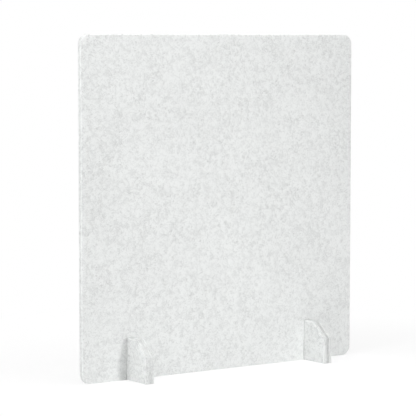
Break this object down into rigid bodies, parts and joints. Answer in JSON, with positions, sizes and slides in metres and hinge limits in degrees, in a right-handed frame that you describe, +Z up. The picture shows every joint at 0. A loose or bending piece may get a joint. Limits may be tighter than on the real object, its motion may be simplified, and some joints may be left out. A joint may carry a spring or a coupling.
{
  "type": "acoustic divider screen",
  "caption": "Free-standing felt desk divider: an upright panel with rounded corners, halved into two slotted cross feet, which it lifts straight up out of.",
  "frame": {"origin": "on the desk, under the middle of the panel, at the centre of the bottom of the bounding box", "axes": "+X along the panel to the right as seen from the front, -Y towards the viewer in front, +Z up"},
  "size_m": [0.6, 0.13, 0.61],
  "materials": {
    "panel_felt": "pale grey heathered pressed polyester felt, matt, with soft cut edges",
    "foot_felt": "the same pale grey heathered pressed polyester felt, two plies bonded face to face"
  },
  "bodies": {
    "panel": {"panel": "panel_felt"},
    "left_foot": {"left_foot_outer_ply": "foot_felt", "left_foot_inner_ply": "foot_felt"},
    "right_foot": {"right_foot_inner_ply": "foot_felt", "right_foot_outer_ply": "foot_felt"}
  },
  "joints": [
    {"name": "panel_lift", "type": "slide", "parent": "left_foot", "child": "panel", "axis": [0, 0, 1], "range_m": [0, 0.08]},
    {"name": "right_foot_slide", "type": "slide", "parent": "panel", "child": "right_foot", "axis": [0, 0, -1], "range_m": [0, 0.08]}
  ],
  "couplings": [
    {"joint": "right_foot_slide", "follows": "panel_lift", "ratio": 1}
  ]
}
